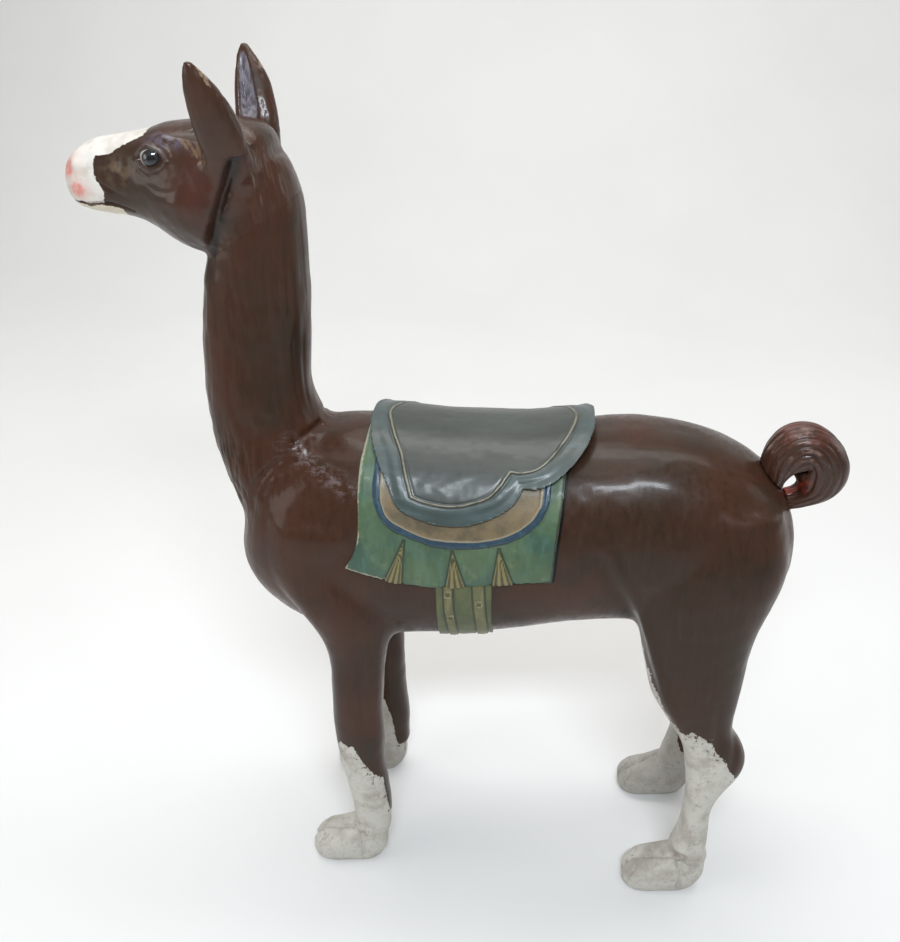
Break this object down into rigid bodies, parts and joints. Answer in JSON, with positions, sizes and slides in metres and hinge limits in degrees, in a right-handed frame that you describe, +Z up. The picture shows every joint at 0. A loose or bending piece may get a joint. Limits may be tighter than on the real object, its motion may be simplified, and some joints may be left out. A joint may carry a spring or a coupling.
{
  "type": "carved animal statue",
  "caption": "Standing carved and painted wooden llama with upright ears, a curled tail and a carved saddle over a green blanket, held by a girth.",
  "frame": {"origin": "on the floor, under the middle of the statue's bounding box", "axes": "+Z up, the llama faces -X, its own left side is at -Y"},
  "size_m": [0.8255, 0.2184, 0.9998],
  "materials": {
    "varnished_brown": "carved wood, dark brown paint under glossy varnish, with reddish and olive patches",
    "white_paint": "carved wood, off-white satin paint with grime in the cuts",
    "eye_gloss": "glossy near-black eye with a blue-grey glint",
    "blanket_green": "carved wood, mottled green satin paint",
    "pad_tan": "carved wood, mottled tan paint with a cream line and a blue edge",
    "saddle_slate": "carved wood, slate grey-green satin paint with a cream piping line",
    "girth_olive": "carved wood, olive paint with tan straps",
    "dowel_wood": "plain turned hardwood"
  },
  "bodies": {
    "root": {"torso_core_plank": "varnished_brown", "torso_left_plank": "varnished_brown", "torso_right_plank": "varnished_brown", "neck_block": "varnished_brown", "head_block": "varnished_brown", "tail_curl": "varnished_brown", "ear_left": "varnished_brown", "ear_right": "varnished_brown", "foreleg_left": "varnished_brown", "foreleg_right": "varnished_brown", "thigh_left": "varnished_brown", "thigh_right": "varnished_brown", "forefoot_left": "white_paint", "forefoot_right": "white_paint", "hind_shank_left": "white_paint", "hind_shank_right": "white_paint", "hindfoot_left": "white_paint", "hindfoot_right": "white_paint", "eye_left": "eye_gloss", "eye_right": "eye_gloss", "blanket_left": "blanket_green", "blanket_right": "blanket_green", "pad_left": "pad_tan", "pad_right": "pad_tan", "saddle_left": "saddle_slate", "saddle_right": "saddle_slate", "girth_band": "girth_olive", "plank_dowels": "dowel_wood", "neck_dowels": "dowel_wood", "head_dowels": "dowel_wood", "tail_dowel": "dowel_wood", "leg_dowels": "dowel_wood", "hock_dowels": "dowel_wood", "ankle_dowels": "dowel_wood"}
  },
  "joints": []
}
